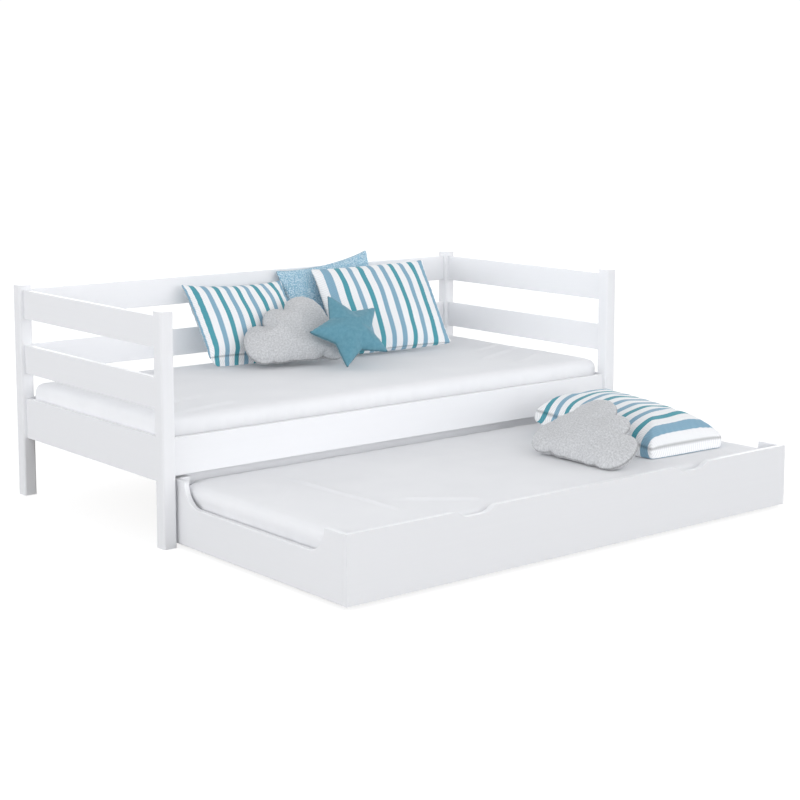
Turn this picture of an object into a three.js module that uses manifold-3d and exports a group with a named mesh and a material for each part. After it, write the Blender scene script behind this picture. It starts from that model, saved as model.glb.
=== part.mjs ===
// Trundle bed: a railed daybed with a low bed on rollers that slides out from under it, with their
// mattresses and loose cushions. Millimetres. X runs along the bed, Y from front to back and Z up.
// The origin is on the floor, below the centre of the whole object with the trundle pulled out.
import * as THREE from "three";
import { mergeVertices } from "three/addons/utils/BufferGeometryUtils.js";
import Module from "manifold-3d";

const wasm = await Module();
wasm.setup();

// Driving sizes of the daybed.
const BED_LENGTH = 2080;
const BED_DEPTH = 1020;
const BED_HEIGHT = 776;
const POST_SIDE = 50;
const POST_ROUND = 9;
const BOARD = 18; // thickness of every rail, board and panel
const INSET = 16; // from a post's outer face to a board's outer face
const TOP_RAIL = { bottom: 654, top: 758 };
const MID_RAIL = { bottom: 453, top: 557 };
const END_BOARD = { bottom: 214, top: 361 };
const FRONT_BOARD = { bottom: 235, top: 361 };

// Driving sizes of the trundle, and how far its front stands out from the daybed's front.
const PULL_OUT = 892;
const TRUNDLE_DEPTH = 964;
const TRUNDLE_SIDE_GAP = 8; // between a post and the trundle's side
const PANEL = { bottom: 11, top: 224 };
const BACK_PANEL_TOP = 231; // just clears the daybed's front board
const SCOOP = { front: 106, back: 106, low: 144 }; // shoulders left whole, and the dip's lowest edge
const NOTCH = { fromMiddle: 488, width: 190, floor: 60, depth: 20 }; // hand notches in the front panel
const BLOCK = { x: 40, y: 30 }; // rear corner blocks

// Slats, the ledgers that carry them, and mattresses.
const SLAT = { width: 80, thick: 18 };
const LEDGER = { wide: 28, high: 25 };
const BED_SLAT_TOP = 280;
const BED_SLATS = 10;
const BED_SLAT_MARGIN = 30; // from a post to the first slat
const BED_MATTRESS = { top: 420, side: 2, front: 16, corner: 37, roll: 34 };
const TRUNDLE_SLAT_TOP = 68;
const TRUNDLE_SLATS = 7;
const TRUNDLE_SLAT_MARGIN = 110; // clears the corner blocks and casters
const TRUNDLE_MATTRESS = { top: 212, side: 6, front: 4, corner: 50, roll: 40 };
const EASE = 2; // clearance at the ends of slats and ledgers

// Casters: a riveted U bracket and a roller on a cross axle.
const WHEEL = { radius: 22, bore: 4.4, width: 20, bevel: 3 };
const BRACKET = { wide: 32, long: 50, top: 49, bottom: 10, sheet: 3 };
const AXLE_RADIUS = 4;
const CASTER_FROM_FRONT = 92;
const CASTER_FROM_BACK = 132;

// Planes worked out from the sizes above.
const LEFT = -BED_LENGTH / 2;
const RIGHT = BED_LENGTH / 2;
const FRONT = (PULL_OUT - BED_DEPTH) / 2;
const BACK = FRONT + BED_DEPTH;
const T_LEFT = LEFT + POST_SIDE + TRUNDLE_SIDE_GAP;
const T_RIGHT = -T_LEFT;
const T_FRONT = FRONT - PULL_OUT;
const T_BACK = T_FRONT + TRUNDLE_DEPTH;

const paint = (color, roughness) => new THREE.MeshStandardMaterial({ color, roughness, metalness: 0 });
const whitePaint = () => paint(0xeeeff1, 0.45);
const bareWood = () => paint(0xd9bf95, 0.7);
const mattressCloth = () => paint(0xf2f2f2, 0.9);
const stripedCloth = () => paint(0xdfe8ea, 0.9);
const blueCloth = () => paint(0x86aec6, 0.95);
const greyCloth = () => paint(0xb9babd, 0.95);
const tealCloth = () => paint(0x5f95ad, 0.9);
const zincSteel = () => new THREE.MeshStandardMaterial({ color: 0xb9bcc0, roughness: 0.4, metalness: 1 });
const rollerPlastic = () => paint(0x55585c, 0.5);

const part = new THREE.Group();
const bed = new THREE.Group();
const trundle = new THREE.Group();
part.add(bed, trundle);

function addMesh(group, name, geometry, material) {
  const mesh = new THREE.Mesh(geometry, material);
  mesh.name = name;
  group.add(mesh);
  return mesh;
}

// A plain board that fills the given spans.
function addBoard(group, name, [x0, x1], [y0, y1], [z0, z1], material = whitePaint()) {
  const mesh = addMesh(group, name, new THREE.BoxGeometry(x1 - x0, y1 - y0, z1 - z0), material);
  mesh.position.set((x0 + x1) / 2, (y0 + y1) / 2, (z0 + z1) / 2);
  return mesh;
}

function roundedRectangle(x0, x1, y0, y1, r) {
  const shape = new THREE.Shape();
  shape.moveTo(x0 + r, y0);
  shape.lineTo(x1 - r, y0);
  shape.absarc(x1 - r, y0 + r, r, -Math.PI / 2, 0);
  shape.lineTo(x1, y1 - r);
  shape.absarc(x1 - r, y1 - r, r, 0, Math.PI / 2);
  shape.lineTo(x0 + r, y1);
  shape.absarc(x0 + r, y1 - r, r, Math.PI / 2, Math.PI);
  shape.lineTo(x0, y0 + r);
  shape.absarc(x0 + r, y0 + r, r, Math.PI, 1.5 * Math.PI);
  return shape;
}

function toSolid(geometry) {
  const bare = geometry.index ? geometry.toNonIndexed() : geometry.clone();
  bare.deleteAttribute("normal");
  bare.deleteAttribute("uv");
  const merged = mergeVertices(bare, 1e-3);
  const vertProperties = new Float32Array(merged.attributes.position.array);
  const triVerts = new Uint32Array(merged.index.array);
  return new wasm.Manifold(new wasm.Mesh({ numProp: 3, vertProperties, triVerts }));
}

function toGeometry(solid) {
  const mesh = solid.getMesh();
  const geometry = new THREE.BufferGeometry();
  geometry.setAttribute("position", new THREE.BufferAttribute(mesh.vertProperties, 3));
  geometry.setIndex(new THREE.BufferAttribute(mesh.triVerts, 1));
  geometry.computeVertexNormals();
  return geometry;
}

const joined = (geometries) => toGeometry(geometries.map(toSolid).reduce((all, next) => all.add(next)));

// Daybed frame

function addPosts() {
  const half = POST_SIDE / 2;
  const section = roundedRectangle(-half, half, -half, half, POST_ROUND);
  const options = { depth: BED_HEIGHT, bevelEnabled: false, curveSegments: 5 };
  for (const [side, x] of [["left", LEFT + half], ["right", RIGHT - half]]) {
    for (const [end, y] of [["front", FRONT + half], ["back", BACK - half]]) {
      const geometry = new THREE.ExtrudeGeometry(section, options);
      addMesh(bed, `post_${end}_${side}`, geometry, whitePaint()).position.set(x, y, 0);
    }
  }
}

// Two guard rails and a side board at each end, butted between the front and back posts.
function addEnds() {
  const along = [FRONT + POST_SIDE, BACK - POST_SIDE];
  const spans = { end_rail_top: TOP_RAIL, end_rail_middle: MID_RAIL, end_board: END_BOARD };
  for (const [side, x] of [["left", LEFT + INSET], ["right", RIGHT - INSET - BOARD]]) {
    for (const [name, { bottom, top }] of Object.entries(spans)) {
      addBoard(bed, `${name}_${side}`, [x, x + BOARD], along, [bottom, top]);
    }
  }
}

function addBackAndFront() {
  const along = [LEFT + POST_SIDE, RIGHT - POST_SIDE];
  const back = [BACK - INSET - BOARD, BACK - INSET];
  const front = [FRONT + INSET, FRONT + INSET + BOARD];
  addBoard(bed, "back_rail_top", along, back, [TOP_RAIL.bottom, TOP_RAIL.top]);
  addBoard(bed, "back_rail_middle", along, back, [MID_RAIL.bottom, MID_RAIL.top]);
  addBoard(bed, "back_board", along, back, [END_BOARD.bottom, END_BOARD.top]);
  addBoard(bed, "front_board", along, front, [FRONT_BOARD.bottom, FRONT_BOARD.top]);
}

// Ledgers along the insides of two long panels, and slats that rest across them.
function addSlatBase(group, prefix, { along, across, slatTop, count, margin, backEndGap }) {
  const [x0, x1] = along;
  const [y0, y1] = across;
  const ledgerTop = slatTop - SLAT.thick;
  const ledgerSpan = [ledgerTop - LEDGER.high, ledgerTop];
  const backSpan = [x0 + backEndGap, x1 - backEndGap];
  addBoard(group, `${prefix}_ledger_front`, [x0 + EASE, x1 - EASE], [y0, y0 + LEDGER.wide], ledgerSpan);
  addBoard(group, `${prefix}_ledger_back`, backSpan, [y1 - LEDGER.wide, y1], ledgerSpan);
  const first = x0 + margin;
  const pitch = (x1 - margin - SLAT.width - first) / (count - 1);
  for (let i = 0; i < count; i++) {
    const x = first + i * pitch;
    const name = `${prefix}_slat_${String(i + 1).padStart(2, "0")}`;
    addBoard(group, name, [x, x + SLAT.width], [y0 + EASE, y1 - EASE], [ledgerTop, slatTop], bareWood());
  }
}

// A mattress in plan, rolled over at its top and bottom edges.
function mattressGeometry(plan, bottom, top, roll) {
  const geometry = new THREE.ExtrudeGeometry(plan, {
    depth: top - bottom - 2 * roll,
    bevelThickness: roll,
    bevelSize: roll,
    bevelOffset: -roll,
    bevelSegments: 3,
    curveSegments: 5,
  });
  return geometry.translate(0, 0, bottom + roll);
}

function addBedMattress() {
  const { top, side, front, corner, roll } = BED_MATTRESS;
  const inEnd = INSET + BOARD + side;
  const inFront = INSET + BOARD + front;
  const plan = roundedRectangle(LEFT + inEnd, RIGHT - inEnd, FRONT + inFront, BACK - inFront, corner);
  addMesh(bed, "bed_mattress", mattressGeometry(plan, BED_SLAT_TOP, top, roll), mattressCloth());
}

// Trundle

// A side panel's outline, Y then Z: full height at both ends, with a long dip that ends in quarter circles.
// It starts behind the front panel.
function sidePanelOutline() {
  const radius = PANEL.top - SCOOP.low;
  const dipFront = SCOOP.front;
  const dipBack = TRUNDLE_DEPTH - SCOOP.back;
  const shape = new THREE.Shape();
  shape.moveTo(BOARD, PANEL.bottom);
  shape.lineTo(TRUNDLE_DEPTH, PANEL.bottom);
  shape.lineTo(TRUNDLE_DEPTH, PANEL.top);
  shape.lineTo(dipBack, PANEL.top);
  shape.absarc(dipBack - radius, PANEL.top, radius, 0, -Math.PI / 2, true);
  shape.lineTo(dipFront + radius, SCOOP.low);
  shape.absarc(dipFront + radius, PANEL.top, radius, -Math.PI / 2, -Math.PI, true);
  shape.lineTo(BOARD, PANEL.top);
  return shape;
}

function addSidePanels() {
  const options = { depth: BOARD, bevelEnabled: false, curveSegments: 10 };
  for (const [side, x] of [["left", T_LEFT], ["right", T_RIGHT - BOARD]]) {
    const geometry = new THREE.ExtrudeGeometry(sidePanelOutline(), options);
    geometry.rotateX(Math.PI / 2).rotateZ(Math.PI / 2);
    addMesh(trundle, `trundle_side_${side}`, geometry, whitePaint()).position.set(x, T_FRONT, 0);
  }
}

// The front panel's outline, X then Z, with a hand notch to each side of its middle.
function frontPanelOutline(half) {
  const shape = new THREE.Shape();
  shape.moveTo(-half, PANEL.bottom);
  shape.lineTo(half, PANEL.bottom);
  shape.lineTo(half, PANEL.top);
  const low = PANEL.top - NOTCH.depth;
  const reach = (NOTCH.width - NOTCH.floor) / 2;
  for (const middle of [NOTCH.fromMiddle, -NOTCH.fromMiddle]) {
    const [start, end] = [middle + NOTCH.width / 2, middle - NOTCH.width / 2];
    const bend = reach / 2;
    shape.lineTo(start, PANEL.top);
    shape.bezierCurveTo(start - bend, PANEL.top, start - bend, low, start - reach, low);
    shape.lineTo(end + reach, low);
    shape.bezierCurveTo(end + bend, low, end + bend, PANEL.top, end, PANEL.top);
  }
  shape.lineTo(-half, PANEL.top);
  return shape;
}

// The front panel covers the ends of the sides; the back panel fits between them.
function addFrontAndBackPanels() {
  const options = { depth: BOARD, bevelEnabled: false, curveSegments: 8 };
  const geometry = new THREE.ExtrudeGeometry(frontPanelOutline(T_RIGHT), options);
  geometry.rotateX(Math.PI / 2);
  addMesh(trundle, "trundle_front", geometry, whitePaint()).position.set(0, T_FRONT + BOARD, 0);
  const half = T_RIGHT - BOARD;
  const height = [PANEL.bottom, BACK_PANEL_TOP];
  addBoard(trundle, "trundle_back", [-half, half], [T_BACK - BOARD, T_BACK], height);
}

function addCornerBlocks() {
  const y1 = T_BACK - BOARD;
  const inner = T_RIGHT - BOARD;
  for (const [side, x] of [["left", -inner], ["right", inner - BLOCK.x]]) {
    const deep = [y1 - BLOCK.y, y1];
    addBoard(trundle, `corner_block_${side}`, [x, x + BLOCK.x], deep, [PANEL.bottom, PANEL.top]);
  }
}

// The mattress fills the trundle's inside, and steps in round the two rear corner blocks.
function addTrundleMattress() {
  const { top, side, front, corner, roll } = TRUNDLE_MATTRESS;
  const half = T_RIGHT - BOARD - side;
  const y0 = T_FRONT + BOARD + front;
  const y1 = T_BACK - BOARD - EASE;
  const stepX = half - BLOCK.x;
  const stepY = y1 - BLOCK.y - EASE;
  const plan = new THREE.Shape();
  plan.moveTo(-half + corner, y0);
  plan.absarc(half - corner, y0 + corner, corner, -Math.PI / 2, 0);
  plan.lineTo(half, stepY);
  plan.lineTo(stepX, stepY);
  plan.lineTo(stepX, y1);
  plan.lineTo(-stepX, y1);
  plan.lineTo(-stepX, stepY);
  plan.lineTo(-half, stepY);
  plan.absarc(-half + corner, y0 + corner, corner, Math.PI, 1.5 * Math.PI);
  addMesh(trundle, "trundle_mattress", mattressGeometry(plan, TRUNDLE_SLAT_TOP, top, roll), mattressCloth());
}

// Casters

function bracketGeometry() {
  const { wide, long, top, bottom, sheet } = BRACKET;
  const section = new THREE.Shape();
  section.moveTo(-wide / 2, bottom);
  section.lineTo(-wide / 2 + sheet, bottom);
  section.lineTo(-wide / 2 + sheet, top - sheet);
  section.lineTo(wide / 2 - sheet, top - sheet);
  section.lineTo(wide / 2 - sheet, bottom);
  section.lineTo(wide / 2, bottom);
  section.lineTo(wide / 2, top);
  section.lineTo(-wide / 2, top);
  const channel = new THREE.ExtrudeGeometry(section, { depth: long, bevelEnabled: false });
  channel.rotateX(Math.PI / 2).translate(0, long / 2, 0);
  const axle = new THREE.CylinderGeometry(AXLE_RADIUS, AXLE_RADIUS, wide, 24).rotateZ(Math.PI / 2);
  return joined([channel, axle.translate(0, 0, WHEEL.radius)]);
}

function wheelGeometry() {
  const { radius, bore, width, bevel } = WHEEL;
  const half = width / 2;
  const profile = [
    [bore, -half],
    [radius - bevel, -half],
    [radius, bevel - half],
    [radius, half - bevel],
    [radius - bevel, half],
    [bore, half],
    [bore, -half],
  ].map(([r, h]) => new THREE.Vector2(r, h));
  return new THREE.LatheGeometry(profile, 32).rotateZ(-Math.PI / 2);
}

function addCasters() {
  const reach = T_RIGHT - BOARD - BRACKET.wide / 2;
  const ends = { front: T_FRONT + CASTER_FROM_FRONT, back: T_BACK - CASTER_FROM_BACK };
  for (const [side, x] of [["left", -reach], ["right", reach]]) {
    for (const [end, y] of Object.entries(ends)) {
      const bracket = addMesh(trundle, `caster_bracket_${end}_${side}`, bracketGeometry(), zincSteel());
      const wheel = addMesh(trundle, `wheel_${end}_${side}`, wheelGeometry(), rollerPlastic());
      bracket.position.set(x, y, 0);
      wheel.position.set(x, y, WHEEL.radius);
    }
  }
}

// Loose cushions

// Stands a flat cushion up: turned in its own plane by roll, leant back by lean and turned about Z by yaw.
function placeCushion(mesh, { at, lean, yaw, roll }) {
  const rad = THREE.MathUtils.degToRad;
  mesh.geometry.rotateZ(rad(roll));
  mesh.rotation.set(rad(90 - lean), 0, rad(yaw), "ZXY");
  mesh.position.set(...at);
}

// A square cushion: a box whose faces swell between its seams, and whose sides pull in between its corners.
// front and back are how far each face swells, and slump slants the whole cushion in its own plane.
function squareCushion({ width, height, front, back, pull, slump = 0 }) {
  const SEAM = 3; // half thickness along the seam
  const FULLNESS = 0.42;
  const geometry = new THREE.BoxGeometry(2, 2, 2, 10, 10, 1);
  const p = geometry.attributes.position;
  for (let i = 0; i < p.count; i++) {
    const [a, b] = [p.getX(i), p.getY(i)].map((t) => Math.sin((t * Math.PI) / 2));
    const swell = ((1 - a * a) * (1 - b * b)) ** FULLNESS;
    const y = b * (height / 2 - pull * (1 - a * a));
    const x = a * (width / 2 - pull * (1 - b * b)) + slump * y;
    p.setXYZ(i, x, y, p.getZ(i) > 0 ? SEAM + front * swell : -SEAM - back * swell);
  }
  return geometry;
}

// A cloud-shaped cushion: a broad flattened ball in the middle, and a smaller one for each lobe.
function cloudCushion({ thick, flip = 1, size = 1 }) {
  const lobes = [
    { x: -10, y: -36, rx: 185, ry: 106, deep: 1 },
    { x: -148, y: -68, rx: 76, ry: 74, deep: 0.8 },
    { x: -78, y: 12, rx: 72, ry: 72, deep: 0.8 },
    { x: 42, y: 42, rx: 98, ry: 108, deep: 0.95 },
    { x: 122, y: -60, rx: 86, ry: 82, deep: 0.85 },
  ];
  const balls = lobes.map(({ x, y, rx, ry, deep }) => {
    const ball = new THREE.SphereGeometry(1, 16, 10).scale(rx * size, ry * size, (deep * thick) / 2);
    return ball.translate(flip * x * size, y * size, 0);
  });
  return joined(balls);
}

// A five-pointed star cushion with eased edges. inner is the notches' radius as a share of the points'.
function starCushion({ radius, inner, thick }) {
  const POINTS = 5;
  const EDGE = 12;
  const EDGE_SHARE = 0.35; // of the thickness, on each face
  const shape = new THREE.Shape();
  for (let i = 0; i < 2 * POINTS; i++) {
    const angle = Math.PI / 2 + (i * Math.PI) / POINTS;
    const r = i % 2 ? radius * inner : radius;
    shape[i ? "lineTo" : "moveTo"](r * Math.cos(angle), r * Math.sin(angle));
  }
  const bevelThickness = thick * EDGE_SHARE;
  const depth = thick - 2 * bevelThickness;
  const options = { depth, bevelThickness, bevelSize: EDGE, bevelOffset: -EDGE, bevelSegments: 2 };
  return new THREE.ExtrudeGeometry(shape, options).translate(0, 0, -depth / 2);
}

// Sizes, then where each cushion's middle is and how it stands.
const CUSHIONS = {
  striped_left: {
    shape: { width: 457, height: 338, front: 62, back: 62, pull: 12, slump: -0.1 },
    place: { at: [-128, 793, 577], lean: 31, yaw: 0, roll: -2 },
  },
  striped_right: {
    shape: { width: 505, height: 398, front: 64, back: 50, pull: 14 },
    place: { at: [456, 685, 593], lean: 36, yaw: -12, roll: 2 },
  },
  blue: {
    shape: { width: 472, height: 345, front: 28, back: 34, pull: 36 },
    place: { at: [344, 858, 618], lean: 18, yaw: 0, roll: 7 },
  },
  cloud: {
    shape: { thick: 96 },
    place: { at: [-22, 626, 545], lean: 38, yaw: -14, roll: 0 },
  },
  star: {
    shape: { radius: 165, inner: 0.54, thick: 56 },
    place: { at: [130, 470, 552], lean: 38, yaw: -10, roll: 13.5 },
  },
  trundle_striped: {
    shape: { width: 374, height: 556, front: 78, back: 44, pull: 14 },
    place: { at: [679, -471, 265], lean: 85.4, yaw: 4, roll: 0 },
  },
  trundle_cloud: {
    shape: { thick: 90, flip: -1, size: 1.04 },
    place: { at: [348, -632, 312], lean: 54, yaw: -86, roll: 0 },
  },
};

function addCushion(group, name, make, material, { shape, place }) {
  placeCushion(addMesh(group, name, make(shape), material), place);
}

function addCushions() {
  addCushion(bed, "cushion_striped_left", squareCushion, stripedCloth(), CUSHIONS.striped_left);
  addCushion(bed, "cushion_striped_right", squareCushion, stripedCloth(), CUSHIONS.striped_right);
  addCushion(bed, "cushion_blue", squareCushion, blueCloth(), CUSHIONS.blue);
  addCushion(bed, "cushion_cloud", cloudCushion, greyCloth(), CUSHIONS.cloud);
  addCushion(bed, "cushion_star", starCushion, tealCloth(), CUSHIONS.star);
  addCushion(trundle, "trundle_cushion_striped", squareCushion, stripedCloth(), CUSHIONS.trundle_striped);
  addCushion(trundle, "trundle_cushion_cloud", cloudCushion, greyCloth(), CUSHIONS.trundle_cloud);
}

addPosts();
addEnds();
addBackAndFront();
addSlatBase(bed, "bed", {
  along: [LEFT + POST_SIDE, RIGHT - POST_SIDE],
  across: [FRONT + INSET + BOARD, BACK - INSET - BOARD],
  slatTop: BED_SLAT_TOP,
  count: BED_SLATS,
  margin: BED_SLAT_MARGIN,
  backEndGap: EASE,
});
addBedMattress();
addSidePanels();
addFrontAndBackPanels();
addCornerBlocks();
addSlatBase(trundle, "trundle", {
  along: [T_LEFT + BOARD, T_RIGHT - BOARD],
  across: [T_FRONT + BOARD, T_BACK - BOARD],
  slatTop: TRUNDLE_SLAT_TOP,
  count: TRUNDLE_SLATS,
  margin: TRUNDLE_SLAT_MARGIN,
  backEndGap: BLOCK.x + EASE,
});
addTrundleMattress();
addCasters();
addCushions();

export default part;
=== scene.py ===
"""Trundle bed: a white daybed and a low bed on rollers that slides out from under it, with their cushions."""
import math

import bpy
import numpy as np
from mathutils import Matrix, Vector, geometry, noise


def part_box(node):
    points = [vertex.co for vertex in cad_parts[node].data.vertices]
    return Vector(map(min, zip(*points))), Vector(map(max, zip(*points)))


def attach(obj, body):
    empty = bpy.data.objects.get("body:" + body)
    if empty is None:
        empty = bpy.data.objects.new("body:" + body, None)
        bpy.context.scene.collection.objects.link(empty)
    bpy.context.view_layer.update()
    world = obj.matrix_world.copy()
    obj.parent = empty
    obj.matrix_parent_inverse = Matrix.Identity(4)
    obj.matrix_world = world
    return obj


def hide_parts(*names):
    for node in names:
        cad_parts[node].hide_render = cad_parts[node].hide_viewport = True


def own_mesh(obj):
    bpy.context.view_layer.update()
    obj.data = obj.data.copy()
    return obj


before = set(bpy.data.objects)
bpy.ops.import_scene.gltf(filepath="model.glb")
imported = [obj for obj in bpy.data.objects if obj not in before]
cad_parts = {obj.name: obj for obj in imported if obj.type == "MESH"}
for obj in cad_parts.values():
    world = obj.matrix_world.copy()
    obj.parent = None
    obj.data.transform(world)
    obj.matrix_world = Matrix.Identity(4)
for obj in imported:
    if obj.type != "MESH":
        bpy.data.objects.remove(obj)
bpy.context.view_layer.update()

BED_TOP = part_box("bed_mattress")[1][2]
TRUNDLE_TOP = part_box("trundle_mattress")[1][2]
BACK_RAIL_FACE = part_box("back_rail_top")[0][1]
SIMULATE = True

scene = bpy.context.scene
scene.view_settings.view_transform = "Standard"


# ---------------------------------------------------------------- camera, light and floor

CAMERA_PLACE = (-3.8630, -4.7300, 1.4796)
CAMERA_PITCH = 7.675  # degrees below level
CAMERA_YAW = 39.202  # degrees clockwise from +Y
CAMERA_LENS = 77.23
CAMERA_SHIFT = -0.10


def make_camera():
    camera = bpy.data.objects.new("camera", bpy.data.cameras.new("camera"))
    scene.collection.objects.link(camera)
    camera.location = CAMERA_PLACE
    pitch, yaw = math.radians(CAMERA_PITCH), math.radians(CAMERA_YAW)
    camera.rotation_euler = (math.pi / 2 - pitch, 0, -yaw)
    camera.data.lens = CAMERA_LENS
    camera.data.shift_y = CAMERA_SHIFT
    camera.data.clip_end = 200
    scene.camera = camera


def make_area_light(name, location, target, size, watts):
    """A rectangular lamp that the camera doesn't see."""
    data = bpy.data.lights.new(name, "AREA")
    data.shape, data.size, data.size_y = "RECTANGLE", *size
    data.energy = watts
    lamp = bpy.data.objects.new(name, data)
    scene.collection.objects.link(lamp)
    lamp.location = location
    lamp.visible_camera = False
    lamp.rotation_euler = (Vector(target) - Vector(location)).to_track_quat("-Z", "Y").to_euler()


SKY_LOW = (0.985, 0.99, 1.0)  # near the horizon
SKY_HIGH = (0.08, 0.081, 0.083)  # overhead
SKY_STRENGTH = 2.42
SEEN_SKY = 1.05  # what the camera sees behind the bed


def make_world():
    """Soft white studio light from all round, in front of a white background."""
    world = bpy.data.worlds.new("studio")
    scene.world = world
    world.use_nodes = True
    tree = world.node_tree
    tree.nodes.clear()
    out = tree.nodes.new("ShaderNodeOutputWorld")
    mix = tree.nodes.new("ShaderNodeMixShader")
    path = tree.nodes.new("ShaderNodeLightPath")
    light = tree.nodes.new("ShaderNodeBackground")
    seen = tree.nodes.new("ShaderNodeBackground")
    up = tree.nodes.new("ShaderNodeSeparateXYZ")
    place = tree.nodes.new("ShaderNodeTexCoord")
    sky = tree.nodes.new("ShaderNodeValToRGB")
    sky.color_ramp.elements[0].color = (*SKY_LOW, 1)
    sky.color_ramp.elements[1].color = (*SKY_HIGH, 1)
    tree.links.new(place.outputs["Generated"], up.inputs[0])
    tree.links.new(up.outputs["Z"], sky.inputs["Fac"])
    tree.links.new(sky.outputs["Color"], light.inputs["Color"])
    light.inputs["Strength"].default_value = SKY_STRENGTH
    seen.inputs["Color"].default_value = (1, 1, 1, 1)
    seen.inputs["Strength"].default_value = SEEN_SKY
    tree.links.new(path.outputs["Is Camera Ray"], mix.inputs["Fac"])
    tree.links.new(light.outputs[0], mix.inputs[1])
    tree.links.new(seen.outputs[0], mix.inputs[2])
    tree.links.new(mix.outputs[0], out.inputs["Surface"])


FLOOR_HALF = 45.0
FLOOR_DROP = 0.0005  # below the feet, so that the two never share a plane
FLOOR_GREY = 0.3
FLOOR_GLOW = 0.05
FLOOR_SEEN_GLOW = 0.76  # added for the camera, which sees a white floor


def make_floor():
    """Gives the bed little light from below but is seen as white."""
    half = FLOOR_HALF
    mesh = bpy.data.meshes.new("floor")
    corners = [(-half, -half, 0), (half, -half, 0), (half, half, 0), (-half, half, 0)]
    mesh.from_pydata(corners, [], [(0, 1, 2, 3)])
    floor = bpy.data.objects.new("floor", mesh)
    scene.collection.objects.link(floor)
    floor.location.z = -FLOOR_DROP
    material = bpy.data.materials.new("floor")
    material.use_nodes = True
    shader = material.node_tree.nodes["Principled BSDF"]
    shader.inputs["Base Color"].default_value = (FLOOR_GREY, FLOOR_GREY, FLOOR_GREY, 1)
    shader.inputs["Roughness"].default_value = 0.9
    shader.inputs["Specular IOR Level"].default_value = 0.1
    shader.inputs["Emission Color"].default_value = (1, 1, 1, 1)
    path = material.node_tree.nodes.new("ShaderNodeLightPath")
    glow = material.node_tree.nodes.new("ShaderNodeMath")
    glow.operation = "MULTIPLY_ADD"
    glow.inputs[1].default_value = FLOOR_SEEN_GLOW
    glow.inputs[2].default_value = FLOOR_GLOW
    material.node_tree.links.new(path.outputs["Is Camera Ray"], glow.inputs[0])
    material.node_tree.links.new(glow.outputs[0], shader.inputs["Emission Strength"])
    mesh.materials.append(material)


# ---------------------------------------------------------------- materials

# Painted shade: near the seam the cloth's colour is darkened down to SEAM_SHADE, for the seam line and the
# shadow in its groove.
SEAM_GROOVE = (0.0004, 0.0018)  # gap from the seam, in metres, where it is darkest and where it ends
SEAM_SHADE = 0.55


class Nodes:
    """A material's node tree, with short calls for the nodes used here."""

    def __init__(self, name):
        self.material = bpy.data.materials.new(name)
        self.material.use_nodes = True
        self.tree = self.material.node_tree
        self.shader = self.tree.nodes["Principled BSDF"]

    def set(self, **values):
        for name, value in values.items():
            self.shader.inputs[name.replace("_", " ")].default_value = value

    def add(self, kind, **settings):
        node = self.tree.nodes.new("ShaderNode" + kind)
        for key, value in settings.items():
            if hasattr(node, key):
                setattr(node, key, value)
            else:
                node.inputs[key.replace("_", " ")].default_value = value
        return node

    def link(self, a, b):
        self.tree.links.new(a, b)

    def coordinates(self, output="Object", scale=(1, 1, 1)):
        source = self.add("TexCoord").outputs[output]
        mapping = self.add("Mapping")
        mapping.inputs["Scale"].default_value = scale
        self.link(source, mapping.inputs["Vector"])
        return mapping.outputs["Vector"]

    def noise(self, vector, scale, detail=2.0, roughness=0.5):
        node = self.add("TexNoise", Scale=scale, Detail=detail, Roughness=roughness)
        self.link(vector, node.inputs["Vector"])
        return node.outputs["Fac"]

    def ramp(self, fac, stops, interpolation="LINEAR"):
        node = self.add("ValToRGB")
        elements = node.color_ramp.elements
        node.color_ramp.interpolation = interpolation
        for i, (position, color) in enumerate(stops):
            element = elements[i] if i < 2 else elements.new(position)
            element.position, element.color = position, (*color, 1)
        self.link(fac, node.inputs["Fac"])
        return node.outputs["Color"]

    def mix(self, fac, a, b, blend="MIX"):
        node = self.add("Mix", data_type="RGBA", blend_type=blend)
        for key, value in ((0, fac), (6, a), (7, b)):
            if isinstance(value, bpy.types.NodeSocket):
                self.link(value, node.inputs[key])
            else:
                node.inputs[key].default_value = value if key == 0 else (*value, 1)
        return node.outputs[2]

    def math(self, operation, a, b=0.0):
        node = self.add("Math", operation=operation)
        for key, value in ((0, a), (1, b)):
            if isinstance(value, bpy.types.NodeSocket):
                self.link(value, node.inputs[key])
            else:
                node.inputs[key].default_value = value
        return node.outputs[0]

    def color(self, socket):
        self.link(socket, self.shader.inputs["Base Color"])

    def seam_shaded_color(self, socket):
        """The cloth's colour, darkened along the cover's seam: a dark seam line, with painted shade for the
        groove it sits in.
        """
        gap = self.add("Attribute", attribute_name="seam_gap").outputs["Fac"]
        # Painted shade, darkest at the seam and fading out a little way from it.
        groove_shade = self.ramp(gap, [(SEAM_GROOVE[0], (SEAM_SHADE,) * 3), (SEAM_GROOVE[1], (1.0, 1.0, 1.0))])
        self.color(self.mix(1.0, socket, groove_shade, "MULTIPLY"))

    def roughness(self, socket):
        self.link(socket, self.shader.inputs["Roughness"])

    def bump(self, *layers):
        """Each layer is (height, strength, distance in metres); they are stacked in order."""
        normal = None
        for height, strength, distance in layers:
            node = self.add("Bump", Strength=strength, Distance=distance)
            self.link(height, node.inputs["Height"])
            if normal is not None:
                self.link(normal, node.inputs["Normal"])
            normal = node.outputs["Normal"]
        self.link(normal, self.shader.inputs["Normal"])


GRAIN_ALONG = {"x": (1.2, 95, 95), "y": (95, 1.2, 95), "z": (95, 95, 1.2)}  # stretches noise into grain


def painted_wood(axis):
    """White satin paint over boards whose grain runs along an axis and just shows through."""
    m = Nodes(f"white_paint_{axis}")
    stretched = m.coordinates(scale=GRAIN_ALONG[axis])
    fine = m.noise(stretched, 1.6, detail=2.0)
    m.color(m.ramp(fine, [(0.3, (0.840, 0.846, 0.866)), (0.7, (0.846, 0.852, 0.872))]))
    m.set(Roughness=0.274, Specular_IOR_Level=0.5)
    return m.material


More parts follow.
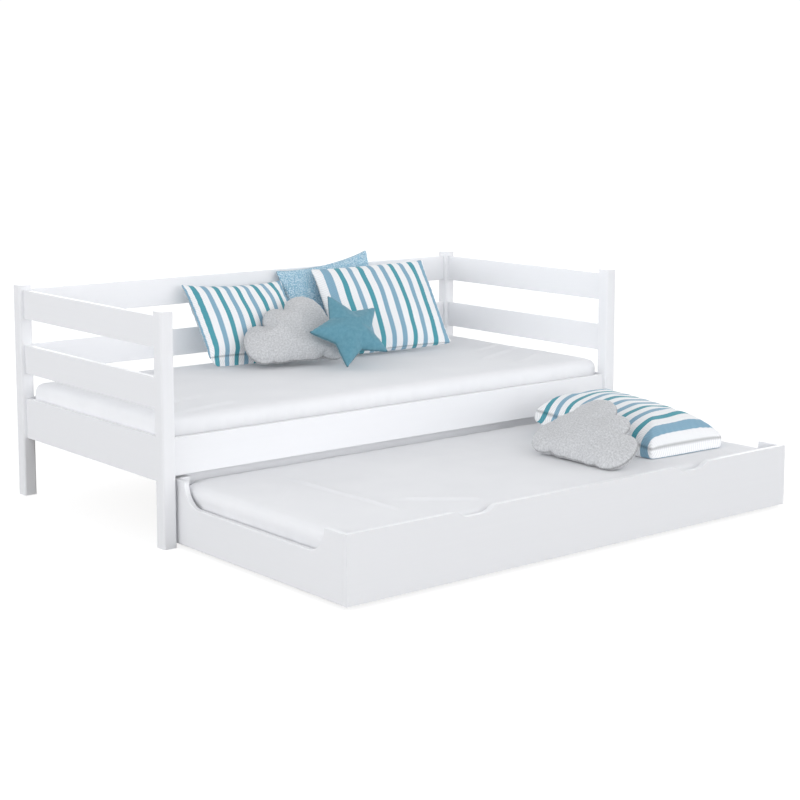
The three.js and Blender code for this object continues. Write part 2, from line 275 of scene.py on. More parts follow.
def bare_pine(axis):
    """Unpainted softwood for the slats, which only show from below and behind."""
    m = Nodes(f"bare_wood_{axis}")
    stretched = m.coordinates(scale=GRAIN_ALONG[axis])
    rings = m.noise(stretched, 0.6, detail=4.0, roughness=0.55)
    fibre = m.noise(stretched, 4.0, detail=3.0)
    tones = [(0.30, (0.50, 0.31, 0.15)), (0.48, (0.72, 0.53, 0.31)), (0.68, (0.80, 0.64, 0.42))]
    streaks = m.ramp(fibre, [(0.3, (0.56, 0.38, 0.2)), (0.7, (0.86, 0.7, 0.47))])
    m.color(m.mix(0.25, m.ramp(rings, tones), streaks))
    m.set(Roughness=0.68)
    m.bump((fibre, 0.4, 0.0005))
    return m.material


ONE_WAVE = 0.314  # the wave texture's scale for one band per unit


def woven(m, pitch, strength, distance):
    """A bump layer: the height of a plain weave with the given thread pitch in metres."""
    vector = m.coordinates("UV", scale=(1 / pitch,) * 3)
    waves = []
    for direction in "XY":
        wave = m.add("TexWave", wave_type="BANDS", bands_direction=direction, Scale=ONE_WAVE, Distortion=0.6)
        m.link(vector, wave.inputs["Vector"])
        waves.append(wave.outputs["Fac"])
    return (m.math("MULTIPLY", *waves), strength, distance)


def mattress_cover():
    m = Nodes("mattress_cover")
    soft = m.noise(m.coordinates(), 5.0, detail=3.0)
    m.color(m.ramp(soft, [(0.3, (0.815, 0.822, 0.843)), (0.7, (0.845, 0.851, 0.87))]))
    m.set(Roughness=0.85, Sheen_Weight=0.12, Sheen_Roughness=0.5, Specular_IOR_Level=0.25)
    thread = m.noise(m.coordinates(), 700.0, detail=2.0)
    crumple = m.noise(m.coordinates(), 26.0, detail=4.0, roughness=0.55)
    m.bump((crumple, 0.12, 0.004), (thread, 0.15, 0.0004))
    return m.material


TEAL = (0.085, 0.335, 0.405)
STEEL = (0.245, 0.420, 0.545)
WHITE_COTTON = (0.875, 0.885, 0.895)
STRIPE_WANDER = 0.0015


def striped_cotton(name, width, stripes, across="X"):
    """White cotton with dyed stripes across a cushion of the given width. stripes are (middle, width,
    colour), in metres from one seam."""
    m = Nodes(name)
    uv = m.coordinates("UV")
    split = m.add("SeparateXYZ")
    m.link(uv, split.inputs[0])
    wander = m.math("MULTIPLY", m.math("SUBTRACT", m.noise(uv, 9.0, detail=2.0), 0.5), STRIPE_WANDER)
    place = m.math("DIVIDE", m.math("ADD", split.outputs[across], wander), width)
    stops = [(0.0, WHITE_COTTON)]
    for middle, wide, color in stripes:
        stops.append(((middle - wide / 2) / width, color))
        stops.append(((middle + wide / 2) / width, WHITE_COTTON))
    dyed = m.ramp(place, [(max(p, 0.0), c) for p, c in stops], "CONSTANT")
    twill = m.add("TexWave", wave_type="BANDS", bands_direction="DIAGONAL", Scale=60.0, Distortion=1.2)
    m.link(uv, twill.inputs["Vector"])
    fleck = m.noise(uv, 420.0, detail=2.0)
    both = m.math("ADD", m.math("MULTIPLY", twill.outputs["Fac"], 0.5), m.math("MULTIPLY", fleck, 0.5))
    shade = m.ramp(both, [(0.25, (0.88, 0.88, 0.89)), (0.75, (1.06, 1.06, 1.06))])
    m.seam_shaded_color(m.mix(1.0, dyed, shade, "MULTIPLY"))
    m.set(Roughness=0.9, Sheen_Weight=0.15, Specular_IOR_Level=0.2)
    m.bump((m.noise(uv, 34.0, detail=3.0), 0.22, 0.005), woven(m, 0.0016, 0.2, 0.0004))
    return m.material


def blue_weave():
    m = Nodes("blue_weave")
    uv = m.coordinates("UV")
    cell = m.add("TexVoronoi", Scale=210.0, Randomness=0.9)
    m.link(uv, cell.inputs["Vector"])
    loops = m.noise(uv, 120.0, detail=4.0, roughness=0.7)
    uneven = m.math("MULTIPLY", m.math("SUBTRACT", loops, 0.5), 0.5)
    speck = m.math("ADD", cell.outputs["Distance"], uneven)
    tones = [(0.16, (0.84, 0.93, 0.98)), (0.36, (0.55, 0.73, 0.84)), (0.60, (0.28, 0.50, 0.65))]
    m.seam_shaded_color(m.ramp(speck, tones))
    m.set(Roughness=0.95, Sheen_Weight=0.25, Specular_IOR_Level=0.15)
    m.bump((m.math("MULTIPLY", cell.outputs["Distance"], -1.0), 0.9, 0.0035), (loops, 0.5, 0.002))
    return m.material


def grey_jersey():
    m = Nodes("grey_jersey")
    uv = m.coordinates("UV")
    heather = m.noise(uv, 150.0, detail=5.0, roughness=0.75)
    cloud = m.noise(uv, 14.0, detail=2.0)
    tones = [(0.36, (0.40, 0.408, 0.42)), (0.50, (0.55, 0.558, 0.572)), (0.66, (0.72, 0.728, 0.742))]
    broad = m.ramp(cloud, [(0.3, (0.50, 0.508, 0.522)), (0.7, (0.60, 0.608, 0.622))])
    m.seam_shaded_color(m.mix(0.25, m.ramp(heather, tones), broad))
    m.set(Roughness=0.95, Sheen_Weight=0.2, Specular_IOR_Level=0.15)
    m.bump((m.noise(uv, 40.0, detail=3.0), 0.25, 0.004), (heather, 0.45, 0.0012))
    return m.material


def teal_cotton():
    m = Nodes("teal_cotton")
    uv = m.coordinates("UV")
    drift = m.noise(uv, 60.0, detail=4.0, roughness=0.65)
    m.seam_shaded_color(m.ramp(drift, [(0.3, (0.105, 0.268, 0.345)), (0.7, (0.145, 0.33, 0.415))]))
    m.set(Roughness=0.85, Sheen_Weight=0.15, Specular_IOR_Level=0.2)
    m.bump((m.noise(uv, 38.0, detail=3.0), 0.2, 0.004), woven(m, 0.0014, 0.25, 0.0004))
    return m.material


def zinc_steel():
    m = Nodes("zinc_steel")
    spangle = m.noise(m.coordinates(), 90.0, detail=3.0)
    m.color(m.ramp(spangle, [(0.3, (0.50, 0.51, 0.53)), (0.7, (0.66, 0.67, 0.69))]))
    m.roughness(m.math("ADD", m.math("MULTIPLY", spangle, 0.25), 0.28))
    m.set(Metallic=1.0)
    m.bump((spangle, 0.15, 0.0003))
    return m.material


def roller():
    m = Nodes("roller")
    scuff = m.noise(m.coordinates(), 160.0, detail=3.0)
    m.color(m.ramp(scuff, [(0.3, (0.075, 0.078, 0.082)), (0.7, (0.11, 0.113, 0.118))]))
    m.set(Roughness=0.55)
    m.bump((scuff, 0.2, 0.0004))
    return m.material


# ---------------------------------------------------------------- frame, trundle and casters

PAINTED_EASE = 0.0025  # metres rounded off an edge
BARE_EASE = 0.003
WELD_GAP = 0.0001
SHARP_EDGE = math.radians(40)


def soften_edges(node, width):
    """Eased edges, as sanded before painting."""
    weld = node.modifiers.new("weld", "WELD")
    weld.merge_threshold = WELD_GAP
    bevel = node.modifiers.new("ease", "BEVEL")
    bevel.width, bevel.segments = width, 3
    bevel.limit_method, bevel.angle_limit = "ANGLE", SHARP_EDGE


def grain_axis(node):
    """The board's longest direction."""
    low, high = (Vector(c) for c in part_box(node))
    sizes = high - low
    return "xyz"[max(range(3), key=lambda i: sizes[i])]


def dress_hard_nodes():
    """Paint, bare wood, steel or plastic for every CAD node that stays visible."""
    paint = {axis: painted_wood(axis) for axis in "xyz"}
    pine = {axis: bare_pine(axis) for axis in "xyz"}
    zinc, plastic = zinc_steel(), roller()
    for name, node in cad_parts.items():
        if "mattress" in name or "cushion" in name:
            continue
        if name.startswith("wheel"):
            finish, ease = plastic, 0
        elif "bracket" in name:
            finish, ease = zinc, 0
        elif "slat" in name:
            finish, ease = pine[grain_axis(name)], BARE_EASE
        else:
            finish, ease = paint[grain_axis(name)], PAINTED_EASE
        for slot in node.material_slots:
            slot.material = finish
        if ease:
            soften_edges(node, ease)


# ---------------------------------------------------------------- soft pieces: sewn covers

def smoothstep(t):
    t = np.clip(t, 0, 1)
    return t * t * (3 - 2 * t)


def resample(points, cell):
    """Points of a closed outline, evened out to about one per cell; its corners stay."""
    out = []
    for a, b in zip(points, np.roll(points, -1, axis=0)):
        n = max(1, round(float(np.linalg.norm(b - a)) / cell))
        out += [a + (b - a) * i / n for i in range(n)]
    return np.array(out)


CUT_CORNER = 0.012  # radius of a square cover's corners
OUTLINE_STEP = 0.02


def rectangle_outline(width, height, dip=0.0):
    """A cushion cover's cut, with slightly rounded corners. dip hollows its sides."""
    x, y, corner = width / 2, height / 2, CUT_CORNER
    corners = [(x, -y, 0), (x, y, 1), (-x, y, 2), (-x, -y, 3)]
    points = []
    for cx, cy, quarter in corners:
        ox, oy = cx - math.copysign(corner, cx), cy - math.copysign(corner, cy)
        for i in range(4):
            angle = (quarter - 1) * math.pi / 2 + i * math.pi / 6
            points.append((ox + corner * math.cos(angle), oy + corner * math.sin(angle)))
    points = resample(np.array(points), OUTLINE_STEP)
    a, b = points[:, 0] / x, points[:, 1] / y
    points[:, 0] -= dip * a * (1 - b * b)
    points[:, 1] -= dip * b * (1 - a * a)
    return points


CLOUD_LOBES = [  # middle and half sizes of each ball of the outline, in metres
    (-0.010, -0.050, 0.190, 0.092),
    (-0.146, -0.054, 0.079, 0.088),
    (-0.085, -0.074, 0.085, 0.070),
    (0.045, -0.074, 0.095, 0.070),
    (-0.060, 0.031, 0.075, 0.077),
    (0.052, 0.040, 0.100, 0.110),
    (0.090, -0.012, 0.092, 0.086),
    (0.122, -0.062, 0.088, 0.082),
]
CLOUD_STEPS = 240


def cloud_outline(size, flip):
    """The outer edge of a cloud's lobes, walked round from its middle; flip -1 mirrors it."""
    middle = np.array([-0.01, -0.045])
    points = []
    for angle in np.linspace(0, 2 * math.pi, CLOUD_STEPS, endpoint=False):
        ray = np.array([math.cos(angle), math.sin(angle)])
        reach = 0.0
        for cx, cy, rx, ry in CLOUD_LOBES:
            o = (middle - (cx, cy)) / (rx, ry)
            d = ray / (rx, ry)
            a, b, c = d @ d, 2 * o @ d, o @ o - 1
            under = b * b - 4 * a * c
            if under > 0:
                reach = max(reach, (-b + math.sqrt(under)) / (2 * a))
        points.append(middle + ray * reach)
    points = np.array(points) * size
    points[:, 0] *= flip
    return points if flip > 0 else points[::-1]


def star_outline(radius, inner):
    """A five-pointed star; inner is the size of its notches as a part of its points'."""
    points = []
    for i in range(10):
        angle = math.pi / 2 + i * math.pi / 5
        r = radius * inner if i % 2 else radius
        points.append((r * math.cos(angle), r * math.sin(angle)))
    return np.array(points)


def edge_distance(points, outline):
    """Each point's distance to a closed outline, and how far round the outline the nearest place is."""
    a, b = outline, np.roll(outline, -1, axis=0)
    along = b - a
    length = np.linalg.norm(along, axis=1)
    start = np.concatenate([[0], np.cumsum(length)[:-1]])
    t = np.einsum("pij,ij->pi", points[:, None] - a[None], along) / length**2
    t = np.clip(t, 0, 1)
    gap = np.linalg.norm(points[:, None] - (a + t[..., None] * along), axis=2)
    nearest = gap.argmin(axis=1)
    rows = np.arange(len(points))
    return gap[rows, nearest], start[nearest] + t[rows, nearest] * length[nearest], float(length.sum())


def inside(points, outline):
    """Which points lie within a closed outline."""
    x, y = points[:, 0][:, None], points[:, 1][:, None]
    a, b = outline, np.roll(outline, -1, axis=0)
    crosses = (a[:, 1] > y) != (b[:, 1] > y)
    at = (b[:, 0] - a[:, 0]) * (y - a[:, 1]) / (b[:, 1] - a[:, 1] + 1e-15) + a[:, 0]
    return (crosses & (x < at)).sum(axis=1) % 2 == 1


CLOTH_STIFFNESS = 18.0
CLOTH_FRAMES = 26
CLOTH_MASS = 0.3
CLOTH_PRESSURE = 9.0
CUT_HALF_GAP = 0.0005  # the cut panels lie this far either side of the seam's plane
RIM_CLEARANCE = 0.6  # in cells: no inner vertex is nearer to the seam
ON_SEAM = 1e-5
SEAM_ALLOWANCE = 0.012  # puckers only start this far in from the seam
FILLING_EDGE = 0.06  # the filling is uneven from here inwards


class Cover:
    """Two flat panels sewn together round an outline, as arrays: flat is the cut, places where it is now."""

    def __init__(self, name, outline, cell):
        self.name = name
        rim = resample(outline, cell)
        low, high = rim.min(axis=0), rim.max(axis=0)
        rows = np.arange(low[1] + cell / 2, high[1], cell * math.sqrt(3) / 2)
        lattice = np.array([
            (x, y) for j, y in enumerate(rows)
            for x in np.arange(low[0] + (j % 2) * cell / 2, high[0], cell)
        ])
        gap = edge_distance(lattice, rim)[0]
        lattice = lattice[inside(lattice, rim) & (gap > RIM_CLEARANCE * cell)]
        every = np.concatenate([rim, lattice])
        edges = [(i, (i + 1) % len(rim)) for i in range(len(rim))]
        found = geometry.delaunay_2d_cdt([Vector(p) for p in every], edges, [], 1, 1e-7)
        flat = np.array([tuple(v) for v in found[0]])
        faces = [tuple(f) for f in found[2]]
        self.gap, self.round, self.girth = edge_distance(flat, rim)
        on_rim = self.gap < ON_SEAM
        behind = np.arange(len(flat))
        behind[~on_rim] = len(flat) + np.arange((~on_rim).sum())
        self.faces = faces + [tuple(int(behind[i]) for i in reversed(f)) for f in faces]
        index = np.concatenate([np.arange(len(flat)), np.flatnonzero(~on_rim)])
        self.flat = flat[index]
        self.gap, self.round = self.gap[index], self.round[index]
        self.side = np.where(np.arange(len(index)) < len(flat), 1.0, -1.0)
        self.side[: len(flat)][on_rim] = 0.0
        self.places = np.column_stack([self.flat, np.zeros(len(index))])

    def swell(self, thick, reach):
        """Rounds both panels out to a total thickness, reached this far in from the seam."""
        t = np.clip(self.gap / reach, 0, 1)
        self.places[:, 2] = self.side * thick / 2 * np.sqrt(1 - (1 - t) ** 2)

    def simulate(self, litres, bending=0.4):
        """Fills the cover with the given volume by cloth simulation; the threads keep the cut's lengths."""
        mesh = bpy.data.meshes.new(self.name + "_sim")
        mesh.from_pydata(self.places.tolist(), [], self.faces)
        piece = bpy.data.objects.new(self.name + "_sim", mesh)
        scene.collection.objects.link(piece)
        piece.shape_key_add(name="start")
        cut = piece.shape_key_add(name="cut")
        cut.data.foreach_set("co", np.column_stack([self.flat, CUT_HALF_GAP * self.side]).ravel())
        cloth = piece.modifiers.new("cloth", "CLOTH").settings
        cloth.rest_shape_key = cut
        cloth.quality = 7
        cloth.mass = CLOTH_MASS
        cloth.air_damping = 1.0
        cloth.tension_stiffness = cloth.compression_stiffness = CLOTH_STIFFNESS
        cloth.shear_stiffness = CLOTH_STIFFNESS / 2
        cloth.bending_stiffness = bending
        cloth.effector_weights.gravity = 0.0
        cloth.use_pressure = True
        cloth.use_pressure_volume = True
        cloth.target_volume = litres / 1000
        cloth.uniform_pressure_force = 0.0
        cloth.pressure_factor = CLOTH_PRESSURE
        cache = piece.modifiers["cloth"].point_cache
        cache.frame_start, cache.frame_end = 1, CLOTH_FRAMES
        for f in range(1, CLOTH_FRAMES + 1):
            scene.frame_set(f)
        done = piece.evaluated_get(bpy.context.evaluated_depsgraph_get()).to_mesh()
        out = np.empty(len(done.vertices) * 3)
        done.vertices.foreach_get("co", out)
        self.places = out.reshape(-1, 3).copy()
        bpy.data.objects.remove(piece)
        bpy.data.meshes.remove(mesh)
        scene.frame_set(1)

    def fit(self, width, height, front, back):
        """Scales the filled cover to its corner to corner size and to how far each face swells."""
        p = self.places
        p[:, :2] -= (p[:, :2].max(axis=0) + p[:, :2].min(axis=0)) / 2
        p[:, 0] *= width / np.ptp(p[:, 0])
        p[:, 1] *= height / np.ptp(p[:, 1])
        seam = p[self.side == 0, 2].mean()
        p[:, 2] -= seam
        ahead, behind = front / p[:, 2].max(), back / -p[:, 2].min()
        p[:, 2] = np.where(p[:, 2] > 0, p[:, 2] * ahead, p[:, 2] * behind)

    def gather(self, depth, reach, pitch, seed):
        """Small puckers that run in from the seam and fade away."""
        fade = np.exp(-self.gap / reach) * smoothstep(self.gap / SEAM_ALLOWANCE)
        turns = round(self.girth / pitch)
        phase = 2 * math.pi * turns * self.round / self.girth
        places = zip(self.round, self.gap)
        wobble = np.array([noise.noise(Vector((r * 14, g * 20, seed))) for r, g in places])
        strength = np.array([noise.noise(Vector((r * 9, 7.0, seed + 3))) for r in self.round])
        lift = depth * fade * np.sin(phase + 5 * wobble) * (0.55 + 0.9 * np.abs(strength))
        self.places[:, 2] += self.side * lift

    def lump(self, depth, scale, seed):
        """Unevenness of the filling."""
        fade = smoothstep(self.gap / FILLING_EDGE)
        sides = zip(self.flat, self.side)
        bumps = np.array([noise.noise(Vector((*(p * scale), seed + s))) for p, s in sides])
        self.places[:, 2] += self.side * depth * fade * bumps

    def stand(self, at, lean, yaw, roll):
        """Turns the cover in its own plane, leans it back, turns it about Z and puts it in its place."""
        about_up = Matrix.Rotation(math.radians(yaw), 3, "Z")
        back = Matrix.Rotation(math.radians(90 - lean), 3, "X")
        in_plane = Matrix.Rotation(math.radians(roll), 3, "Z")
        self.places = self.places @ np.array(about_up @ back @ in_plane).T + np.array(at)

    def rest_on(self, height, softness=0.004):
        """Flattens what would sink below a surface, and eases the curve just above it."""
        z = (self.places[:, 2] - height) / softness
        self.places[:, 2] = height + softness * np.logaddexp(0, z)

    def make(self, material, body, node):
        """The finished piece, standing in for a CAD node on a body."""
        mesh = bpy.data.meshes.new(self.name)
        mesh.from_pydata(self.places.tolist(), [], self.faces)
        uv = mesh.uv_layers.new(name="cut")
        corner = np.empty(len(mesh.loops), int)
        mesh.loops.foreach_get("vertex_index", corner)
        uv.data.foreach_set("uv", (self.flat - self.flat.min(axis=0))[corner].ravel())
        mesh.attributes.new("seam_gap", "FLOAT", "POINT").data.foreach_set("value", self.gap)
        mesh.polygons.foreach_set("use_smooth", [True] * len(mesh.polygons))
        mesh.materials.append(material)
        piece = bpy.data.objects.new(self.name, mesh)
        scene.collection.objects.link(piece)
        fine = piece.modifiers.new("fine", "SUBSURF")
        fine.levels = fine.render_levels = 1
        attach(piece, body)
        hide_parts(node)
        return piece


# ---------------------------------------------------------------- mattresses

COVER_SETBACK = 0.0015  # how far inside the CAD's faces the cover lies before it waves
WAVE_HEIGHT, WAVE_RATE = 0.0016, 3.1  # each rate is the noise's cells per metre
PULL_HEIGHT, PULL_RATE, PULL_REACH = 0.0026, (17, 5), 0.07  # puckers along and in from the edges
TUCK_HEIGHT, TUCK_RATE = 0.0036, (34, 6)  # upright tucks along and up the sides
CREASE_LIMIT = 0.010  # nothing stands further above the CAD's top
CREASE_FADE = 0.2  # the part of a crease's length at either end where it dies away
FLANK_START, FLANK_HEIGHT = 0.030, 0.035  # below the top: where a side starts to draw in, and over how much


def ridge(points, start, end, width, height):
    """A long soft crease between two places in plan, fading at its ends."""
    a, b = np.array(start), np.array(end)
    along = b - a
    t = (points[:, :2] - a) @ along / (along @ along)
    gap = np.linalg.norm(points[:, :2] - (a + np.clip(t, 0, 1)[:, None] * along), axis=1)
    fade = smoothstep(t / CREASE_FADE) * smoothstep((1 - t) / CREASE_FADE)
    return height * fade * np.exp(-((gap / width) ** 2))


def make_mattress(name, node, body, cell, drawn_in, creases, seed):
    """A foam mattress in a loose white cover: the CAD shape in fine cells, with creases, tucks and puckers.
    Its sides are drawn in by drawn_in below the top's roll; creases are (start, end, width, height)."""
    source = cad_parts[node]
    rough = bpy.data.objects.new(name + "_rough", source.data.copy())
    scene.collection.objects.link(rough)
    weld = rough.modifiers.new("weld", "WELD")
    weld.merge_threshold = WELD_GAP
    remesh = rough.modifiers.new("cells", "REMESH")
    remesh.mode, remesh.voxel_size = "VOXEL", cell
    smooth = rough.modifiers.new("smooth", "SMOOTH")
    smooth.factor, smooth.iterations = 0.5, 4
    done = rough.evaluated_get(bpy.context.evaluated_depsgraph_get())
    mesh = bpy.data.meshes.new_from_object(done)
    mesh.name = name
    bpy.data.objects.remove(rough)

    low, high = (np.array(c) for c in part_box(node))
    count = len(mesh.vertices)
    p = np.empty(count * 3)
    mesh.vertices.foreach_get("co", p)
    p = p.reshape(-1, 3)
    normal = np.empty(count * 3)
    mesh.vertices.foreach_get("normal", normal)
    normal = normal.reshape(-1, 3)
    p -= normal * COVER_SETBACK

    up = smoothstep((normal[:, 2] - 0.2) / 0.6)
    flank = smoothstep(1 - np.abs(normal[:, 2]) / 0.75)
    above = smoothstep((p[:, 2] - low[2] - 0.01) / 0.03)
    inset = np.minimum(p[:, :2] - low[:2], high[:2] - p[:, :2])
    to_edge = inset.min(axis=1)
    around = np.where(inset[:, 0] < inset[:, 1], p[:, 1], p[:, 0])

    def field(*rows):
        return np.array([noise.noise(Vector(row)) for row in zip(*rows)])

    x, y, z = p.T * WAVE_RATE
    waves = WAVE_HEIGHT * field(x, y, z + seed) * up
    pull_seed, tuck_seed = np.full(count, seed + 5.0), np.full(count, seed + 9.0)
    pulls = field(around * PULL_RATE[0], to_edge * PULL_RATE[1], pull_seed)
    pulls *= PULL_HEIGHT * np.exp(-to_edge / PULL_REACH)
    tucks = TUCK_HEIGHT * field(around * TUCK_RATE[0], p[:, 2] * TUCK_RATE[1], tuck_seed) * flank
    folds = sum((ridge(p, *crease) for crease in creases), np.zeros(count)) * up
    drawn = drawn_in * smoothstep((high[2] - FLANK_START - p[:, 2]) / FLANK_HEIGHT) * above * flank
    p += normal * ((waves + pulls + tucks - drawn) * above + folds)[:, None]
    p[:, 2] = np.minimum(p[:, 2], high[2] + CREASE_LIMIT)
    mesh.vertices.foreach_set("co", p.ravel())
    mesh.polygons.foreach_set("use_smooth", [True] * len(mesh.polygons))
    mesh.materials.clear()
    mesh.materials.append(COVER_CLOTH)
    mesh.update()
    piece = bpy.data.objects.new(name, mesh)
    scene.collection.objects.link(piece)
    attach(piece, body)
    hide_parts(node)


# ---------------------------------------------------------------- cushions

CUT_ALLOWANCE = (1.07, 1.08)  # a flat cover is this much wider and taller than when it is filled
PILLOW_CELL = 0.0095
CORNER_PINCH = 0.55  # how much thinner a pillow is right at its corners
EAR = 0.035  # how far a corner is drawn out, as a part of its place
BACK_ROLL = 0.09  # width of the roll round the edge of the back panel
START_FULL = 0.45  # how full a cover is when its simulation starts


def stripe_row(first, pitch, wide, colors):
    """Evenly spaced stripes of one width."""
    return [(first + i * pitch, wide, color) for i, color in enumerate(colors)]


def pillow(name, node, body, cloth, size, swell, litres, place, floor, dip=0.0, sag=0.0,
           slump=0.0, crown=0.45, hang=0.0, spread=0.0, seed=1.0, back_limit=None):
    """A square cushion; swell is how far its front and its back stand out from the seam's plane. crown thins
    its rims, hang drops the back's lower roll below the seam, spread bulges the face that it lies on past the
    seam, dip hollows its sides, sag dips its top edge and slump leans the whole to one side."""
    width, height = size
    outline = rectangle_outline(width * CUT_ALLOWANCE[0], height * CUT_ALLOWANCE[1], dip)
    cover = Cover(name, outline, PILLOW_CELL)
    thick = sum(swell)
    if SIMULATE:
        cover.swell(thick * START_FULL, min(size) / 2)
        cover.simulate(litres)
    else:
        cover.swell(thick, min(size) / 2)
    cover.fit(width, height, *swell)
    p = cover.places
    a = np.clip(p[:, 0] / (width / 2), -1, 1)
    b = np.clip(p[:, 1] / (height / 2), -1, 1)
    p[:, 2] *= 1 - crown + crown * np.sqrt((1 - a * a) * (1 - b * b))
    p[:, 2] *= 1 - CORNER_PINCH * (a * b) ** 4
    p[:, :2] *= 1 + EAR * ((a * b) ** 6)[:, None]
    t = np.clip(cover.gap / BACK_ROLL, 0, 1) * (cover.side < 0)
    rolled = np.sin(math.pi * t)
    p[:, 1] -= hang * rolled * smoothstep((-b - 0.1) / 0.7)
    if spread:
        outward = np.column_stack([np.minimum(a, 0) ** 5, b**5])
        outward /= np.linalg.norm(outward, axis=1)[:, None] + 0.05
        p[:, :2] += spread * rolled[:, None] * outward
        p[:, 2] = np.where(cover.side < 0, -swell[1] * np.sqrt(1 - (1 - t) ** 2), p[:, 2])
    p[:, 1] -= sag * (1 - a * a) * np.clip(b, 0, 1) ** 2
    p[:, 0] += slump * p[:, 1]
    cover.gather(0.0048, 0.032, 0.030, seed)
    cover.lump(0.007, 9.0, seed)
    cover.stand(**place)
    cover.rest_on(floor)
    if back_limit is not None:
        cover.places[:, 1] = np.minimum(cover.places[:, 1], back_limit)
    return cover.make(cloth, body, node)


def shaped(name, node, body, cloth, outline, thick, reach, litres, place, floor, seed, pucker,
           cell=0.0085):
    """A cushion cut to an outline, such as a cloud or a star."""
    cover = Cover(name, outline, cell)
    size = np.ptp(outline, axis=0)
    if SIMULATE:
        cover.swell(thick * START_FULL, reach)
        cover.simulate(litres, bending=0.25)
    else:
        cover.swell(thick, reach)
    cover.fit(*size, thick / 2, thick / 2)
    cover.gather(pucker, 0.028, 0.022, seed)
    cover.lump(0.006, 11.0, seed)
    cover.stand(**place)
    cover.rest_on(floor)
    return cover.make(cloth, body, node)


CLEAR = 0.0005  # between a cushion and what it rests on or leans against


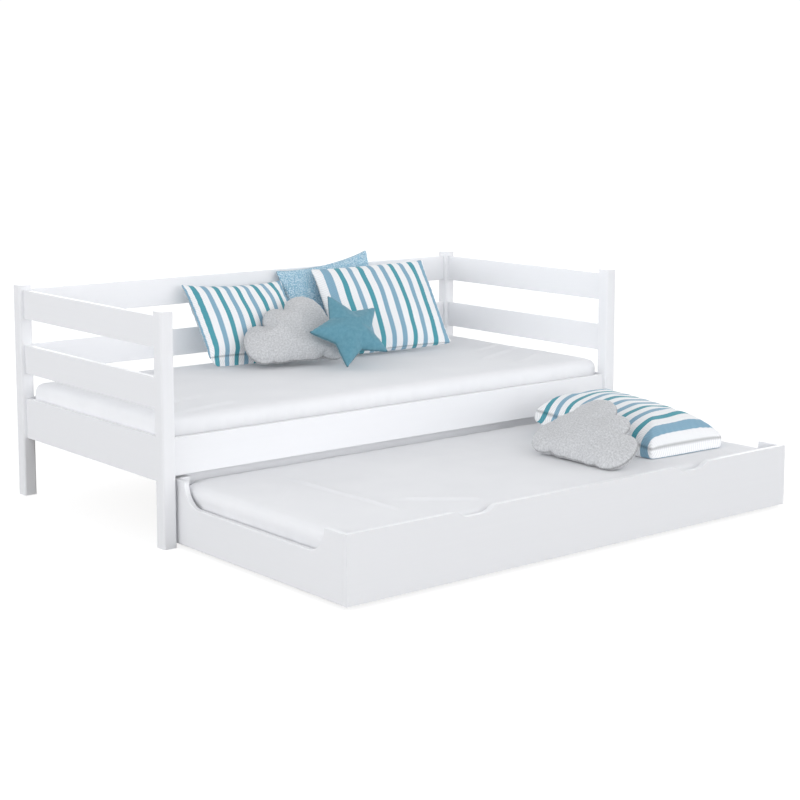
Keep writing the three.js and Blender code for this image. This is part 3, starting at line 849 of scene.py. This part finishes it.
def make_cushions():
    """Five cushions against the daybed's back and two on the trundle, each in place of its CAD node."""
    bed_floor, trundle_floor = BED_TOP + CLEAR, TRUNDLE_TOP + CLEAR
    wall = BACK_RAIL_FACE - CLEAR
    alternate = [TEAL, STEEL] * 5
    mirrored = [STEEL, TEAL, STEEL, TEAL, STEEL] * 2

    stripes = [(0.004, 0.010, STEEL)]
    stripes += stripe_row(0.036, 0.048, 0.021, alternate[:9])
    stripes += [(0.468, 0.020, STEEL)]
    pillow("cushion_cover_striped_left", "cushion_striped_left", "bed",
           striped_cotton("striped_cotton_left", 0.489, stripes),
           size=(0.456, 0.306), swell=(0.056, 0.062), litres=7.4,
           place=dict(at=(-0.131, 0.800, 0.594), lean=31, yaw=0, roll=-2), floor=bed_floor,
           slump=-0.1, hang=0.072, sag=0.012, seed=1.0, back_limit=wall)

    stripes = [(0.052, 0.033, STEEL)]
    stripes += stripe_row(0.110, 0.0515, 0.022, mirrored[1:])
    pillow("cushion_cover_striped_right", "cushion_striped_right", "bed",
           striped_cotton("striped_cotton_right", 0.540, stripes),
           size=(0.509, 0.390), swell=(0.056, 0.056), litres=9.4,
           place=dict(at=(0.460, 0.690, 0.603), lean=36, yaw=-12, roll=2), floor=bed_floor,
           hang=0.030, seed=2.0, back_limit=wall)

    pillow("cushion_cover_blue", "cushion_blue", "bed", blue_weave(),
           size=(0.472, 0.345), swell=(0.034, 0.034), litres=6.0,
           place=dict(at=(0.344, 0.858, 0.618), lean=18, yaw=0, roll=7), floor=bed_floor,
           dip=0.004, sag=0.014, crown=0.3, seed=3.0, back_limit=wall)

    jersey = grey_jersey()
    shaped("cushion_cover_cloud", "cushion_cloud", "bed", jersey, cloud_outline(1.0, 1),
           thick=0.130, reach=0.085, litres=6.0,
           place=dict(at=(-0.015, 0.646, 0.553), lean=38, yaw=-14, roll=0), floor=bed_floor,
           seed=4.0, pucker=0.0042)
    shaped("cushion_cover_star", "cushion_star", "bed", teal_cotton(), star_outline(0.171, 0.58),
           thick=0.108, reach=0.060, litres=3.4,
           place=dict(at=(0.119, 0.472, 0.568), lean=38, yaw=-12, roll=16), floor=bed_floor,
           seed=5.0, pucker=0.0020, cell=0.0075)

    stripes = [(0.037, 0.034, STEEL)]
    stripes += stripe_row(0.099, 0.0535, 0.023, mirrored[1:9] + [STEEL, TEAL])
    on_trundle = [
        pillow("trundle_cover_striped", "trundle_cushion_striped", "trundle",
               striped_cotton("striped_cotton_trundle", 0.600, stripes, across="Y"),
               size=(0.352, 0.588), swell=(0.088, 0.062), litres=12.0,
               place=dict(at=(0.668, -0.486, 0.272), lean=85.4, yaw=-2, roll=0), floor=trundle_floor,
               crown=0.1, spread=0.058, seed=6.0),
        shaped("trundle_cover_cloud", "trundle_cushion_cloud", "trundle", jersey, cloud_outline(1.04, -1),
               thick=0.126, reach=0.085, litres=6.8,
               place=dict(at=(0.348, -0.636, 0.300), lean=57, yaw=-86, roll=-5), floor=trundle_floor,
               seed=7.0, pucker=0.0042),
    ]
    for piece in on_trundle:
        bpy.context.view_layer.update()
        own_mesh(piece)


# ---------------------------------------------------------------- the scene

BED_CREASES = [  # start, end, width and height
    ((-0.98, 0.04), (-0.62, 0.12), 0.014, 0.008),
    ((-0.99, 0.20), (-0.66, 0.28), 0.016, 0.008),
    ((-0.96, 0.42), (-0.70, 0.40), 0.016, 0.007),
    ((0.66, 0.10), (0.99, 0.28), 0.012, 0.007),
    ((0.60, 0.26), (0.97, 0.42), 0.012, 0.007),
    ((0.74, 0.44), (0.98, 0.54), 0.012, 0.006),
]
TRUNDLE_CREASES = [
    ((-0.66, -0.16), (-0.64, -0.84), 0.010, 0.0090),
    ((-0.58, -0.66), (-0.34, -0.86), 0.012, 0.0110),
    ((-0.90, -0.50), (-0.70, -0.30), 0.014, 0.0030),
    ((-0.20, -0.25), (0.30, -0.30), 0.016, 0.0020),
]
COVER_CLOTH = mattress_cover()

make_camera()
make_world()
make_floor()
make_area_light("front", (0.6, -6.0, 1.3), target=(0, 0, 0.3), size=(5.0, 2.2), watts=18)
make_area_light("left", (-6.5, -0.6, 1.2), target=(0, 0, 0.3), size=(4.0, 2.2), watts=20)
dress_hard_nodes()
make_mattress("mattress_cover_bed", "bed_mattress", "bed",
              cell=0.010, drawn_in=0.0, creases=BED_CREASES, seed=11.0)
make_mattress("mattress_cover_trundle", "trundle_mattress", "trundle",
              cell=0.008, drawn_in=0.006, creases=TRUNDLE_CREASES, seed=23.0)
make_cushions()
